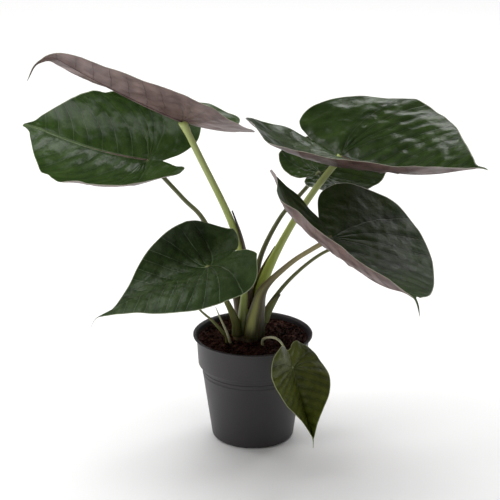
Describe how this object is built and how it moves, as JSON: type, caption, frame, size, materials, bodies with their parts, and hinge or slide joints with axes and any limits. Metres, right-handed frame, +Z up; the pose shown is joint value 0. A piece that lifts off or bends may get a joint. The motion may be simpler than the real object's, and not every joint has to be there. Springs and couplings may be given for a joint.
{
  "type": "potted alocasia",
  "caption": "Potted alocasia: dark glossy heart-shaped leaves with curled tips on slender green petioles, rising from a soil-filled charcoal nursery pot",
  "frame": {"origin": "Centre of the pot's underside, on the pot's upright axis, in the plane the pot stands on", "axes": "+Z is up; -Y is the front, the side most leaves are seen from; +X is to the right seen from the front"},
  "size_m": [0.6436, 0.5806, 0.5808],
  "materials": {
    "pot_plastic": "satin charcoal moulded plastic",
    "potting_soil": "coarse damp coir and bark potting mix",
    "corm_skin": "fibrous corm skin",
    "petiole_skin": "smooth yellow-green petiole skin",
    "leaf_skin": "glossy dark green leaf, maroon beneath",
    "young_leaf_skin": "soft pale green young leaf",
    "dry_sheath": "brown papery sheath"
  },
  "bodies": {
    "root": {"Pot": "pot_plastic", "Soil": "potting_soil", "Corm": "corm_skin", "Leaf_upper_left": "leaf_skin", "Petiole_upper_left": "petiole_skin", "Leaf_left": "leaf_skin", "Petiole_left": "petiole_skin", "Leaf_front_left": "leaf_skin", "Petiole_front_left": "petiole_skin", "Leaf_upper_right": "leaf_skin", "Petiole_upper_right": "petiole_skin", "Leaf_right": "leaf_skin", "Petiole_right": "petiole_skin", "Leaf_back_right": "leaf_skin", "Petiole_back_right": "petiole_skin", "Leaf_right_small": "young_leaf_skin", "Petiole_right_small": "petiole_skin", "Leaf_front_small": "young_leaf_skin", "Petiole_front_small": "petiole_skin", "Leaf_left_juvenile": "young_leaf_skin", "Petiole_left_juvenile": "petiole_skin", "Sheath_upper_left": "dry_sheath", "Sheath_upper_right": "dry_sheath", "Sheath_right_small": "dry_sheath", "Shoot": "petiole_skin"}
  },
  "joints": []
}
